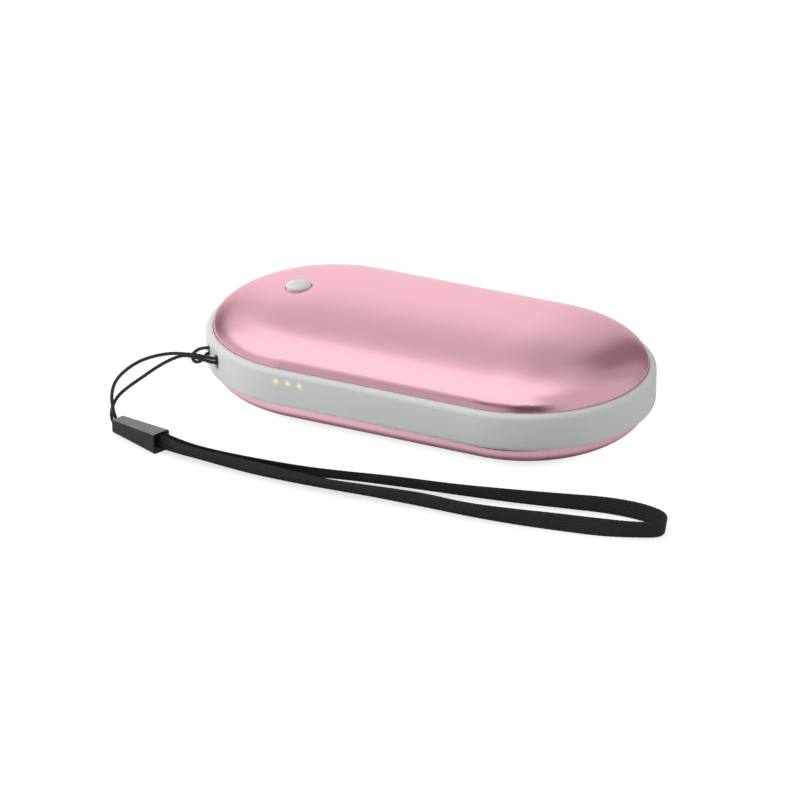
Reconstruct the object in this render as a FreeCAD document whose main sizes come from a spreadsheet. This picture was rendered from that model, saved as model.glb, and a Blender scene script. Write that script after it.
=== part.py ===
import FreeCAD, Part
import math
import os
import Sketcher

# Rechargeable hand warmer: two domed metal shells on a plastic side band, with a
# battery, a control board and two heater films inside and a wrist lanyard outside.
# Millimetres. +X is the long axis, +Z is up, the origin is the middle of the rest face.

doc = FreeCAD.newDocument("HandWarmer")
sheet = doc.addObject("Spreadsheet::Sheet", "Sizes")

driving = {
    # Outer form
    "body_length": 105, "body_width": 58, "band_height": 8.5, "dome_rise": 8.75,
    "seam_inset": 1.6, "rest_cut": 0.25, "shell_wall": 0.8, "skirt_depth": 1.05,
    "shell_fit": 0.1, "glue_layer": 0.2, "crown_flat": 0.3,
    # Side band
    "band_wall": 2.6, "band_round": 1.2, "ledge_reach": 2, "ledge_height": 1.2,
    "post_radius": 2.3, "post_depth": 3.6, "post_inset": 0.8, "post_angle": 30,
    # Inner tray and its screws
    "tray_gap": 0.3, "deck_thickness": 1, "well_wall": 1, "well_drop": 4.2, "well_rise": 3.8,
    "well_end": 12, "well_side": 4, "cell_gap": 0.4, "screw_radius": 0.9, "screw_play": 0.1, "screw_bite": 2.6,
    "head_radius": 1.8, "head_height": 0.8,
    # Battery
    "cell_thickness": 6.4, "cell_corner": 1.5, "tape_layer": 0.2, "tape_margin": 4,
    "tab_length": 1.1, "tab_width": 4,
    "tab_thickness": 0.3, "tab_spread": 9, "guard_thickness": 1, "guard_margin": 4,
    "guard_height": 10, "foam_thickness": 0.8, "foam_margin": 3,
    # Control board and what it carries
    "board_reach": 18, "board_gap": 0.4, "board_thickness": 1.2, "standoff_height": 1, "standoff_radius": 2,
    "standoff_inset": 4.5, "standoff_spread": 18, "board_clear": 1.1,
    "board_screw_radius": 0.7, "board_screw_bite": 1.6, "board_head_radius": 1.4,
    "board_head_height": 0.7, "chip_side": 5, "chip_height": 0.9, "coil_side": 6,
    "coil_height": 3, "part_spread": 9, "cap_length": 2, "cap_width": 1.25, "cap_pitch": 3,
    # Switch and button
    "button_reach": 8.05, "button_offset": 1.9, "button_radius": 2.9, "button_play": 0.2,
    "button_proud": 1.1, "button_crown": 0.8, "flange_radius": 3.8, "flange_thickness": 0.8,
    "flange_gap": 0.2, "button_post": 1.6, "switch_side": 6,
    "switch_body": 3.2, "switch_height": 6.5, "switch_floor": 0.7, "switch_bore": 2.4,
    "cover_thickness": 0.3, "stem_radius": 1.7, "stem_play": 0.15, "stem_collar": 2.2,
    "collar_height": 0.7, "collar_gap": 0.05, "nub_radius": 0.8, "snap_radius": 2.1,
    "snap_rise": 0.55, "snap_sheet": 0.12, "snap_gap": 0.02,
    # Indicator lights
    "light_pitch": 2.95, "light_radius": 0.5, "light_play": 0.05, "light_length": 1.6,
    "light_depth": 1.2, "light_height": 1.2, "light_gap": 0.15, "light_recess": 0.03,
    # Charging port
    "port_place": 7.5, "port_width": 7.5, "port_height": 2.6, "port_depth": 6, "port_wall": 0.35,
    "port_corner": 0.7, "port_recess": 1.1, "port_play": 0.2, "tongue_width": 4.6,
    "tongue_height": 0.7, "tongue_length": 4.2,
    # Heater films, leads and sensor
    "film_gap": 0.05, "film_thickness": 0.3, "film_reach": 18, "lead_radius": 0.45,
    "lead_bow": 2, "lead_pitch": 2.4, "lead_place": 11, "battery_lead_spread": 3.5,
    "lead_hole": 2.6, "bead_length": 2.4, "bead_width": 1.8, "bead_height": 1, "ribbon_width": 1.2,
    "ribbon_thickness": 0.5, "sensor_place": 16,
    # Lanyard
    "slot_width": 2, "slot_height": 3.4, "slot_rise": 0.5, "slot_near": 220.5, "slot_far": 231.6,
    "string_diameter": 0.7, "clip_length": 15.2, "clip_end_width": 3.6, "clip_end_height": 3.2,
    "clip_mouth_width": 4.6, "clip_mouth_height": 4.75, "clip_edge": 0.6, "clip_wall": 0.5,
    "clip_pocket": 2.4, "clip_x": -58.2, "clip_y": -38.7, "clip_heading": -21,
    "strap_width": 3.6, "strap_thickness": 0.7, "strap_play": 0.05,
}
for row, (alias, value) in enumerate(driving.items(), start=1):
    sheet.set(f"A{row}", alias)
    sheet.set(f"B{row}", str(value))
    sheet.setAlias(f"B{row}", alias)
doc.recompute()


def number(formula):
    return float(sheet.evalExpression(formula))


def size(alias):
    return float(sheet.get(alias))


def plane(body, role):
    return next(item for item in body.Origin.OriginFeatures if item.Role == role)


def bind(item, formulas):
    for name, formula in formulas.items():
        item.setExpression(name, formula)
    return item


def at(item, x="0", y="0", z="0"):
    return bind(item, {"Placement.Base.x": x, "Placement.Base.y": y, "Placement.Base.z": z})


# Formulas that several pieces share
halfRun = "((Sizes.body_length - Sizes.body_width) / 2)"
outerRadius = "(Sizes.body_width / 2)"
seamRadius = "(Sizes.body_width / 2 - Sizes.seam_inset)"
innerShell = f"({seamRadius} - Sizes.shell_wall)"
lipRadius = f"({seamRadius} + Sizes.shell_fit)"
innerRadius = f"({outerRadius} - Sizes.band_wall)"
ledgeRadius = f"({innerRadius} - Sizes.ledge_reach)"
boardRadius = f"({ledgeRadius} - Sizes.board_gap)"
lowerSeam = "Sizes.dome_rise"
upperSeam = "(Sizes.dome_rise + Sizes.band_height)"
recess = "(Sizes.skirt_depth + Sizes.glue_layer)"
lowerShoulder = f"({lowerSeam} + {recess})"
upperShoulder = f"({upperSeam} - {recess})"
ledgeTop = f"({lowerShoulder} + Sizes.ledge_height)"
deckTop = f"({ledgeTop} + Sizes.deck_thickness)"
boardBottom = f"({deckTop} + Sizes.standoff_height)"
boardTop = f"({boardBottom} + Sizes.board_thickness)"
lightLevel = f"({boardTop} + Sizes.light_height / 2)"
portLevel = f"({boardBottom} + Sizes.board_thickness / 2)"


# Drawing aids for the sketches
def sketchOn(body, name, role, **offset):
    sketch = body.newObject("Sketcher::SketchObject", name)
    sketch.AttachmentSupport = (plane(body, role), [""])
    sketch.MapMode = "FlatFace"
    return bind(sketch, {f"AttachmentOffset.Base.{axis}": text for axis, text in offset.items()})


def hold(sketch, kind, *place):
    sketch.addConstraint(Sketcher.Constraint(kind, *place))


def measure(sketch, kind, *place):
    *where, formula = place
    index = sketch.addConstraint(Sketcher.Constraint(kind, *where, number(formula)))
    sketch.setExpression(f"Constraints[{index}]", formula)


def line(sketch, start, end):
    return sketch.addGeometry(Part.LineSegment(start, end), False)


def polygon(sketch, corners):
    points = [FreeCAD.Vector(number(x), number(y), 0) for x, y in corners]
    sides = [line(sketch, point, points[(i + 1) % len(points)]) for i, point in enumerate(points)]
    for i, side in enumerate(sides):
        hold(sketch, "Coincident", side, 2, sides[(i + 1) % len(sides)], 1)
    for side, (x, y) in zip(sides, corners):
        measure(sketch, "DistanceX", -1, 1, side, 1, x)
        measure(sketch, "DistanceY", -1, 1, side, 1, y)


def stadium(sketch, radius):
    run, reach = number(halfRun), number(radius)
    vector, circle = FreeCAD.Vector, Part.Circle
    axis = vector(0, 0, 1)
    front = line(sketch, vector(-run, -reach, 0), vector(run, -reach, 0))
    right = sketch.addGeometry(
        Part.ArcOfCircle(circle(vector(run, 0, 0), axis, reach), -math.pi / 2, math.pi / 2), False)
    rear = line(sketch, vector(run, reach, 0), vector(-run, reach, 0))
    left = sketch.addGeometry(
        Part.ArcOfCircle(circle(vector(-run, 0, 0), axis, reach), math.pi / 2, 3 * math.pi / 2), False)
    for first, second in ((front, right), (right, rear), (rear, left), (left, front)):
        hold(sketch, "Tangent", first, 2, second, 1)
    hold(sketch, "Horizontal", front)
    for end, formula in ((right, halfRun), (left, "-" + halfRun)):
        hold(sketch, "PointOnObject", end, 3, -1)
        measure(sketch, "DistanceX", -1, 1, end, 3, formula)
    measure(sketch, "Radius", right, radius)


def circleAt(sketch, x, y, radius):
    shape = Part.Circle(FreeCAD.Vector(number(x), number(y), 0), FreeCAD.Vector(0, 0, 1), number(radius))
    index = sketch.addGeometry(shape, False)
    measure(sketch, "Radius", index, radius)
    measure(sketch, "DistanceX", -1, 1, index, 3, x)
    measure(sketch, "DistanceY", -1, 1, index, 3, y)


# A quarter of an ellipse from its flank at the given level to a flat on its crown.
# Side is 1 for a dome that rises and -1 for one that falls. An edge ends the arc before its flank.
def quarterEllipse(sketch, halfWidth, rise, level, side, edge=None, flat="Sizes.crown_flat"):
    reach, height, middle = number(halfWidth), number(rise), number(level)
    vector = FreeCAD.Vector
    ellipse = Part.Ellipse(vector(reach, middle, 0), vector(0, middle + height, 0), vector(0, middle, 0))
    low = math.acos(number(edge) / reach) if edge else 0
    high = math.acos(number(flat) / reach)
    start, end = (low, high) if side > 0 else (-high, -low)
    arc = sketch.addGeometry(Part.ArcOfEllipse(ellipse, start, end), False)
    sketch.exposeInternalGeometry(arc)
    flank, crown = (1, 2) if side > 0 else (2, 1)
    hold(sketch, "PointOnObject", arc, 3, -2)
    measure(sketch, "DistanceY", -1, 1, arc, 3, level)
    hold(sketch, "Horizontal", arc + 1)
    measure(sketch, "Distance", arc + 1, f"2 * ({halfWidth})")
    measure(sketch, "Distance", arc + 2, f"2 * ({rise})")
    if edge:
        measure(sketch, "DistanceX", -1, 1, arc, flank, edge)
    else:
        hold(sketch, "PointOnObject", arc, flank, arc + 1)
    measure(sketch, "DistanceX", -1, 1, arc, crown, flat)
    top = middle + side * height * math.sin(high)
    land = line(sketch, FreeCAD.Vector(number(flat), top, 0), FreeCAD.Vector(0, top, 0))
    hold(sketch, "Coincident", arc, crown, land, 1)
    hold(sketch, "Horizontal", land)
    hold(sketch, "PointOnObject", land, 2, -2)
    return (arc, flank), (land, 2)


# The space between two such quarters, with an optional straight skirt past the flank
def domeSection(sketch, outer, inner, level, side, skirt=None, edge=None, flat="Sizes.crown_flat"):
    vector = FreeCAD.Vector
    outerFlank, outerCrown = quarterEllipse(sketch, *outer, level, side, edge, flat)
    innerFlank, innerCrown = quarterEllipse(sketch, *inner, level, side, edge)
    wide, narrow, middle = number(outer[0]), number(inner[0]), number(level)
    high, low = middle + side * number(outer[1]), middle + side * number(inner[1])
    crown = line(sketch, vector(0, high, 0), vector(0, low, 0))
    hold(sketch, "Coincident", *outerCrown, crown, 1)
    hold(sketch, "Coincident", *innerCrown, crown, 2)
    if skirt is None:
        foot = line(sketch, vector(narrow, middle, 0), vector(wide, middle, 0))
        hold(sketch, "Coincident", *innerFlank, foot, 1)
        hold(sketch, "Coincident", *outerFlank, foot, 2)
        return
    end = middle - side * number(skirt)
    within = line(sketch, vector(narrow, middle, 0), vector(narrow, end, 0))
    foot = line(sketch, vector(narrow, end, 0), vector(wide, end, 0))
    outside = line(sketch, vector(wide, end, 0), vector(wide, middle, 0))
    hold(sketch, "Coincident", *innerFlank, within, 1)
    hold(sketch, "Coincident", within, 2, foot, 1)
    hold(sketch, "Coincident", foot, 2, outside, 1)
    hold(sketch, "Coincident", outside, 2, *outerFlank)
    hold(sketch, "Vertical", within)
    hold(sketch, "Horizontal", foot)
    hold(sketch, "Vertical", outside)
    measure(sketch, "DistanceY", foot, 1, within, 1, skirt if side > 0 else f"-({skirt})")


# Solid-making aids
def newBody(name):
    return doc.addObject("PartDesign::Body", name)


def pad(body, name, sketch, length, symmetric=False):
    feature = body.newObject("PartDesign::Pad", name)
    feature.Profile = sketch
    feature.setExpression("Length", length)
    if symmetric:
        feature.SideType = "Symmetric"
    doc.recompute()
    return feature


# Cuts a pocket and checks that it has taken material away
def pocket(body, name, sketch, depth, upward=False):
    before = body.Tip.Shape.Volume
    feature = body.newObject("PartDesign::Pocket", name)
    feature.Profile = sketch
    feature.setExpression("Length", depth)
    feature.Reversed = upward
    doc.recompute()
    if feature.Shape.Volume >= before:
        raise ValueError(f"{name} cuts nothing")
    return feature


def mirror(body, name, feature, role):
    copy = body.newObject("PartDesign::Mirrored", name)
    copy.Originals = [feature]
    copy.MirrorPlane = (plane(body, role), [""])
    body.Tip = copy
    doc.recompute()


# A flat plate of stadium outline, with an optional hole of the same outline
def slab(name, radius, bottom, height, hole=None):
    body = newBody(name)
    outline = sketchOn(body, name + "Outline", "XY_Plane", z=bottom)
    stadium(outline, radius)
    if hole:
        stadium(outline, hole)
    pad(body, name + "Pad", outline, height)
    return body


# A section carried along the straight run and round both ends of the stadium outline
def domedBody(name, drawSection):
    body = newBody(name)
    side = sketchOn(body, name + "RunSection", "YZ_Plane")
    drawSection(side)
    run = pad(body, name + "Run", side, f"2 * {halfRun}", symmetric=True)
    mirror(body, name + "RearRun", run, "XZ_Plane")
    end = sketchOn(body, name + "EndSection", "XZ_Plane", x=halfRun)
    drawSection(end)
    turn = revolve(body, name + "End", end, 180)
    mirror(body, name + "LeftEnd", turn, "YZ_Plane")
    return body


def revolve(body, name, sketch, angle=360):
    feature = body.newObject("PartDesign::Revolution", name)
    feature.Profile = sketch
    feature.ReferenceAxis = (sketch, ["V_Axis"])
    feature.Angle = angle
    feature.Midplane = True
    doc.recompute()
    return feature


# A body turned about its own vertical axis, from a closed profile of radius and level pairs
def turnedBody(name, corners, x="0", y="0"):
    body = newBody(name)
    profile = sketchOn(body, name + "Profile", "XZ_Plane")
    polygon(profile, corners)
    revolve(body, name + "Turn", profile)
    return at(body, x, y)


def box(name, length, width, height, x, y, z):
    block = doc.addObject("Part::Box", name)
    bind(block, {"Length": length, "Width": width, "Height": height})
    return at(block, x, y, z)


def middleBox(name, length, width, height, x, y, z):
    return box(name, length, width, height, f"{x} - ({length}) / 2", f"{y} - ({width}) / 2", z)


def rod(name, radius, height, x, y, z):
    cylinder = doc.addObject("Part::Cylinder", name)
    bind(cylinder, {"Radius": radius, "Height": height})
    return at(cylinder, x, y, z)


def fuse(name, *items):
    joined = doc.addObject("Part::MultiFuse", name)
    joined.Shapes = list(items)
    return joined


def cut(name, base, *tools):
    result = doc.addObject("Part::Cut", name)
    result.Base = base
    result.Tool = tools[0] if len(tools) == 1 else fuse(name + "Tools", *tools)
    return result


def common(name, base, tool):
    result = doc.addObject("Part::Common", name)
    result.Base = base
    result.Tool = tool
    return result


def group(name, items):
    collection = doc.addObject("Part::Compound", name)
    collection.Links = list(items)
    return collection


# Rounds the edges of a block that run along one axis
def softened(name, base, radius, along):
    doc.recompute()
    rounded = doc.addObject("Part::Fillet", name)
    rounded.Base = base
    picked = []
    for index, edge in enumerate(base.Shape.Edges, start=1):
        direction = edge.tangentAt(edge.FirstParameter)
        if any(abs(direction.dot(axis)) > 0.99 for axis in along):
            picked.append((index, radius, radius))
    rounded.Edges = picked
    return rounded


xAxis, yAxis, zAxis = FreeCAD.Vector(1, 0, 0), FreeCAD.Vector(0, 1, 0), FreeCAD.Vector(0, 0, 1)
nodes = []


def node(item):
    item.Label = item.Name
    nodes.append(item)
    return item


# Shells
reachToButton = "sqrt(Sizes.button_reach ^ 2 + Sizes.button_offset ^ 2)"
buttonX = f"(-{halfRun} - Sizes.button_reach)"
buttonY = "(-Sizes.button_offset)"


insideDome = (innerShell, "(Sizes.dome_rise - Sizes.shell_wall)")
fullerRise = "(Sizes.dome_rise + Sizes.rest_cut)"
restLand = f"({seamRadius} * sqrt(1 - (Sizes.dome_rise / {fullerRise}) ^ 2))"


def topSection(sketch):
    domeSection(sketch, (seamRadius, "Sizes.dome_rise"), insideDome, upperSeam, 1, "Sizes.skirt_depth")


# The lower dome is fuller than the upper one, and ends at its crown in the flat rest face
def bottomSection(sketch):
    domeSection(sketch, (seamRadius, fullerRise), insideDome, lowerSeam, -1, "Sizes.skirt_depth",
                flat=restLand)


topShell = domedBody("top_shell", topSection)
buttonHole = sketchOn(topShell, "ButtonHole", "XY_Plane", z=upperSeam)
circleAt(buttonHole, buttonX, buttonY, "Sizes.button_radius + Sizes.button_play")
pocket(topShell, "ButtonHoleCut", buttonHole, "Sizes.dome_rise + Sizes.button_proud", upward=True)
node(topShell)

node(domedBody("bottom_shell", bottomSection))

# Side band: the lips stand outside the shell skirts, and a ledge inside carries the tray
band = newBody("BandRing")
bandOutline = sketchOn(band, "BandOutline", "XY_Plane", z=lowerSeam)
stadium(bandOutline, outerRadius)
bandPad = pad(band, "BandPad", bandOutline, "Sizes.band_height")
rim = band.newObject("PartDesign::Fillet", "BandRims")
rim.Base = (bandPad, [f"Edge{i}" for i, edge in enumerate(bandPad.Shape.Edges, start=1)
                      if abs(edge.tangentAt(edge.FirstParameter).z) < 0.5])
rim.setExpression("Radius", "Sizes.band_round")
doc.recompute()
for name, level, radius, depth, upward in (
        ("UpperRecess", upperSeam, lipRadius, recess, False),
        ("LowerRecess", lowerSeam, lipRadius, recess, True),
        ("Inside", upperShoulder, innerRadius, f"{upperShoulder} - {ledgeTop}", False),
        ("LedgeOpening", ledgeTop, ledgeRadius, "Sizes.ledge_height", False)):
    outline = sketchOn(band, "Band" + name, "XY_Plane", z=level)
    stadium(outline, radius)
    pocket(band, "Band" + name + "Cut", outline, depth, upward)

postRing = f"({ledgeRadius} - Sizes.post_inset)"
postX = f"({halfRun} + {postRing} * cos(Sizes.post_angle * 1 deg))"
postY = f"({postRing} * sin(Sizes.post_angle * 1 deg))"
corners = [(sideX, sideY) for sideX in ("", "-") for sideY in ("", "-")]
postSketch = sketchOn(band, "ScrewPosts", "XY_Plane", z=f"{ledgeTop} - Sizes.post_depth")
for sideX, sideY in corners:
    circleAt(postSketch, sideX + postX, sideY + postY, "Sizes.post_radius")
pad(band, "ScrewPostPad", postSketch, "Sizes.post_depth")
pilotSketch = sketchOn(band, "ScrewPilots", "XY_Plane", z=ledgeTop)
for sideX, sideY in corners:
    circleAt(pilotSketch, sideX + postX, sideY + postY, "Sizes.screw_radius")
pocket(band, "ScrewPilotCut", pilotSketch, "Sizes.screw_bite")


# Lanyard slots, radial through the left end of the band
def lanyardSlot(name, angle):
    turn = f"({angle} * 1 deg)"
    start = ledgeRadius
    slot = doc.addObject("Part::Box", name + "Block")
    bind(slot, {"Length": f"{outerRadius} - {ledgeRadius} + Sizes.band_round",
                "Width": "Sizes.slot_width", "Height": "Sizes.slot_height",
                "Placement.Rotation.Angle": turn})
    at(slot, f"-{halfRun} + {start} * cos({turn}) + Sizes.slot_width / 2 * sin({turn})",
       f"{start} * sin({turn}) - Sizes.slot_width / 2 * cos({turn})",
       f"{lowerSeam} + Sizes.band_height / 2 + Sizes.slot_rise - Sizes.slot_height / 2")
    doc.recompute()
    heading = math.radians(number(angle))
    radial = FreeCAD.Vector(math.cos(heading), math.sin(heading), 0)
    return softened(name, slot, 0.49 * size("slot_width"), [radial])


portX = f"(-{halfRun} + Sizes.port_place)"
portBack = f"({outerRadius} - Sizes.port_recess - Sizes.port_depth)"


def lightX(index):
    return f"(-{halfRun} + {index} * Sizes.light_pitch)"


# A rod that lies along -Y from the given start
def frontRod(name, radius, length, x, y, z):
    cylinder = rod(name, radius, length, x, y, z)
    cylinder.Placement.Rotation = FreeCAD.Rotation(xAxis, 90)
    return cylinder


bandTools = [lanyardSlot("NearSlot", "Sizes.slot_near"), lanyardSlot("FarSlot", "Sizes.slot_far")]
for index in range(3):
    bandTools.append(frontRod(f"LightHole{index + 1}", "Sizes.light_radius + Sizes.light_play",
                              f"{outerRadius} - {ledgeRadius} + Sizes.band_round", lightX(index),
                              f"-{ledgeRadius}", lightLevel))
portOpening = middleBox("PortOpening", "Sizes.port_width + 2 * Sizes.port_play",
                        f"2 * ({outerRadius} - {ledgeRadius})", "Sizes.port_height + 2 * Sizes.port_play",
                        portX, outerRadius, f"{portLevel} - Sizes.port_height / 2 - Sizes.port_play")
openingCorner = size("port_corner") + size("port_play")
bandTools.append(softened("PortOpeningRounded", portOpening, openingCorner, [yAxis]))
node(cut("side_band", band, *bandTools))

# Bonding rings between the shell skirts and the band's shoulders
node(slab("top_gasket", seamRadius, upperShoulder, "Sizes.glue_layer", innerShell))
lowerRing = f"{lowerShoulder} - Sizes.glue_layer"
node(slab("bottom_gasket", seamRadius, lowerRing, "Sizes.glue_layer", innerShell))

# Battery: two pouch cells on edge-to-edge tape, with a guard board across their tabs
boardRight = f"(Sizes.board_reach - {halfRun})"
wellLeft = f"({boardRight} + Sizes.board_clear + Sizes.well_wall)"
wellRight = f"({halfRun} + {ledgeRadius} - Sizes.well_end - Sizes.well_wall)"
wellLength = f"({wellRight} - {wellLeft})"
wellWidth = f"(2 * ({ledgeRadius} - Sizes.well_side - Sizes.well_wall))"
guardX = f"({wellLeft} + Sizes.cell_gap)"
cellLeft = f"({guardX} + Sizes.guard_thickness + Sizes.tab_length)"
cellLength = f"({wellRight} - Sizes.cell_gap - {cellLeft})"
cellMiddle = f"({cellLeft} + {cellLength} / 2)"
cellWidth = f"({wellWidth} - 2 * Sizes.cell_gap)"
wellFloor = f"({ledgeTop} - Sizes.well_drop)"
lowerCell = f"({wellFloor} + Sizes.tape_layer)"
upperCell = f"({lowerCell} + Sizes.cell_thickness + Sizes.tape_layer)"
cellTop = f"({upperCell} + Sizes.cell_thickness)"


def tapeSheet(name, level):
    margin = "2 * Sizes.tape_margin"
    node(middleBox(name, f"{cellLength} - {margin}", f"{cellWidth} - {margin}",
                   "Sizes.tape_layer", cellMiddle, "0", level))


def pouchCell(name, level):
    pouch = middleBox(name + "Pouch", cellLength, cellWidth, "Sizes.cell_thickness",
                      cellMiddle, "0", level)
    rounded = softened(name + "Rounded", pouch, size("cell_corner"), [zAxis])
    tabs = [middleBox(f"{name}Tab{i}", "Sizes.tab_length", "Sizes.tab_width", "Sizes.tab_thickness",
                      f"{cellLeft} - Sizes.tab_length / 2", f"{side} * Sizes.tab_spread",
                      f"{level} + Sizes.cell_thickness / 2") for i, side in enumerate((-1, 1), start=1)]
    node(fuse(name, rounded, *tabs))


tapeSheet("battery_tape", wellFloor)
pouchCell("battery_cell_lower", lowerCell)
tapeSheet("cell_tape", f"{lowerCell} + Sizes.cell_thickness")
pouchCell("battery_cell_upper", upperCell)
foamMargin = "2 * Sizes.foam_margin"
node(middleBox("insulation_pad", f"{cellLength} - {foamMargin}", f"{cellWidth} - {foamMargin}",
               "Sizes.foam_thickness", cellMiddle, "0", cellTop))
guardLevel = f"({upperCell} - Sizes.tape_layer / 2 - Sizes.guard_height / 2)"
node(box("protection_board", "Sizes.guard_thickness", f"{cellWidth} - 2 * Sizes.guard_margin",
         "Sizes.guard_height", guardX, f"Sizes.guard_margin - {cellWidth} / 2", guardLevel))

# Inner tray: a deck on the band's ledge, with a well for the battery and posts for the board
standoffs = [(f"(-{halfRun} - {boardRadius} + Sizes.standoff_inset)", "0"),
             (f"({boardRight} - Sizes.standoff_inset / 1.5)", "Sizes.standoff_spread"),
             (f"({boardRight} - Sizes.standoff_inset / 1.5)", "(-Sizes.standoff_spread)")]
leadX = f"({boardRight} - Sizes.lead_place)"
deck = slab("TrayDeck", f"{innerRadius} - Sizes.tray_gap", ledgeTop, "Sizes.deck_thickness")
wellBottom = f"({wellFloor} - Sizes.well_wall)"
wellBlock = box("WellBlock", f"{wellLength} + 2 * Sizes.well_wall", f"{wellWidth} + 2 * Sizes.well_wall",
                f"{deckTop} + Sizes.well_rise - {wellBottom}", f"{wellLeft} - Sizes.well_wall",
                f"-{wellWidth} / 2 - Sizes.well_wall", wellBottom)
trayPosts = []
trayHoles = [box("WellHollow", wellLength, wellWidth, f"{deckTop} + Sizes.well_rise", wellLeft,
                 f"-{wellWidth} / 2", wellFloor)]
throughDeck, belowDeck = "3 * Sizes.deck_thickness", f"{ledgeTop} - Sizes.deck_thickness"
for i, (sideX, sideY) in enumerate(corners, start=1):
    trayHoles.append(rod(f"TrayHole{i}", "Sizes.screw_radius + Sizes.screw_play", throughDeck,
                         sideX + postX, sideY + postY, belowDeck))
for i, (x, y) in enumerate(standoffs, start=1):
    trayPosts.append(rod(f"BoardPost{i}", "Sizes.standoff_radius",
                         "Sizes.standoff_height + Sizes.deck_thickness", x, y, ledgeTop))
    trayHoles.append(rod(f"PostPilot{i}", "Sizes.board_screw_radius", "Sizes.board_screw_bite", x, y,
                         f"{boardBottom} - Sizes.board_screw_bite"))
trayHoles.append(rod("LeadHole", "Sizes.lead_hole", throughDeck, leadX, "-Sizes.part_spread", belowDeck))
node(cut("inner_tray", fuse("TrayBlock", deck, wellBlock, *trayPosts), *trayHoles))


# A group of equal screws: a head on the seat level and a shank below it
def screws(name, places, shank, bite, headRadius, headHeight, seat):
    pieces = []
    for i, (x, y) in enumerate(places, start=1):
        head = rod(f"{name}Head{i}", headRadius, headHeight, x, y, seat)
        pin = rod(f"{name}Shank{i}", shank, bite, x, y, f"{seat} - ({bite})")
        drive = middleBox(f"{name}Drive{i}", f"1.4 * {headRadius}", f"0.3 * {headRadius}", headHeight, x, y,
                          f"{seat} + 0.5 * {headHeight}")
        pieces.append(cut(f"{name}Piece{i}", fuse(f"{name}Blank{i}", head, pin), drive))
    node(group(name, pieces))


screws("tray_screws", [(sideX + postX, sideY + postY) for sideX, sideY in corners], "Sizes.screw_radius",
       "Sizes.screw_bite + Sizes.deck_thickness", "Sizes.head_radius", "Sizes.head_height", deckTop)
screws("board_screws", standoffs, "Sizes.board_screw_radius",
       "Sizes.board_screw_bite + Sizes.board_thickness", "Sizes.board_head_radius",
       "Sizes.board_head_height", boardTop)

# Control board: the left end of the stadium outline, notched for the charging port
boardPlate = slab("BoardPlate", boardRadius, boardBottom, "Sizes.board_thickness")
boardLeft = f"(-{halfRun} - {boardRadius} - Sizes.board_gap)"
boardWindow = box("BoardWindow", f"{boardRight} - {boardLeft}", f"2 * {outerRadius}",
                  "2 * Sizes.board_thickness", boardLeft, f"-{outerRadius}",
                  f"{boardBottom} - Sizes.board_thickness / 2")
throughBoard, belowBoard = "3 * Sizes.board_thickness", f"{boardBottom} - Sizes.board_thickness"
boardHoles = [middleBox("PortNotch", "Sizes.port_width + 2 * Sizes.port_play", "2 * Sizes.port_depth",
                        throughBoard, portX, f"{portBack} + Sizes.port_depth - Sizes.port_play", belowBoard)]
for i, (x, y) in enumerate(standoffs, start=1):
    boardHoles.append(rod(f"BoardHole{i}", "Sizes.board_screw_radius + Sizes.screw_play", throughBoard, x, y,
                          belowBoard))
node(cut("main_board", common("BoardBlank", boardPlate, boardWindow), *boardHoles))

# Parts on the board
chipX = f"({boardRight} - 1.6 * Sizes.part_spread)"
node(middleBox("controller_chip", "Sizes.chip_side", "Sizes.chip_side", "Sizes.chip_height", chipX, "0",
               boardTop))
node(middleBox("charger_chip", "0.8 * Sizes.chip_side", "0.8 * Sizes.chip_side", "Sizes.chip_height", chipX,
               "Sizes.part_spread", boardTop))
coilBlock = middleBox("CoilBlock", "Sizes.coil_side", "Sizes.coil_side", "Sizes.coil_height",
                      f"{boardRight} - 2.2 * Sizes.part_spread", "-1.2 * Sizes.part_spread", boardTop)
node(softened("power_coil", coilBlock, 0.2 * size("coil_side"), [zAxis]))
capacitors = []
for i in range(3):
    capacitors.append(middleBox(f"Capacitor{i + 1}", "Sizes.cap_length", "Sizes.cap_width", "Sizes.cap_width",
                                f"{boardRight} - 2.6 * Sizes.part_spread",
                                f"Sizes.part_spread + {i} * Sizes.cap_pitch", boardTop))
node(group("capacitors", capacitors))

# Tact switch under the button
switchTop = f"({boardTop} + Sizes.switch_body)"
cavityFloor = f"({boardTop} + Sizes.switch_floor)"
stemTop = f"({boardTop} + Sizes.switch_height)"
switchBlock = middleBox("SwitchBlock", "Sizes.switch_side", "Sizes.switch_side", "Sizes.switch_body",
                        buttonX, buttonY, boardTop)
switchBore = rod("SwitchBore", "Sizes.switch_bore", "Sizes.switch_body", buttonX, buttonY, cavityFloor)
node(cut("switch_base", switchBlock, switchBore))
coverPlate = middleBox("CoverPlate", "Sizes.switch_side", "Sizes.switch_side", "Sizes.cover_thickness",
                       buttonX, buttonY, switchTop)
coverHole = rod("CoverHole", "Sizes.stem_radius + Sizes.stem_play", "3 * Sizes.cover_thickness",
                buttonX, buttonY, f"{switchTop} - Sizes.cover_thickness")
node(cut("switch_cover", coverPlate, coverHole))

snap = newBody("switch_dome")
snapProfile = sketchOn(snap, "SnapProfile", "XZ_Plane")
snapOuter = ("Sizes.snap_radius", "Sizes.snap_rise")
snapInner = tuple(f"({text} - Sizes.snap_sheet)" for text in snapOuter)
domeSection(snapProfile, snapOuter, snapInner, cavityFloor, 1)
revolve(snap, "SnapTurn", snapProfile)
node(at(snap, buttonX, buttonY))

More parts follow.
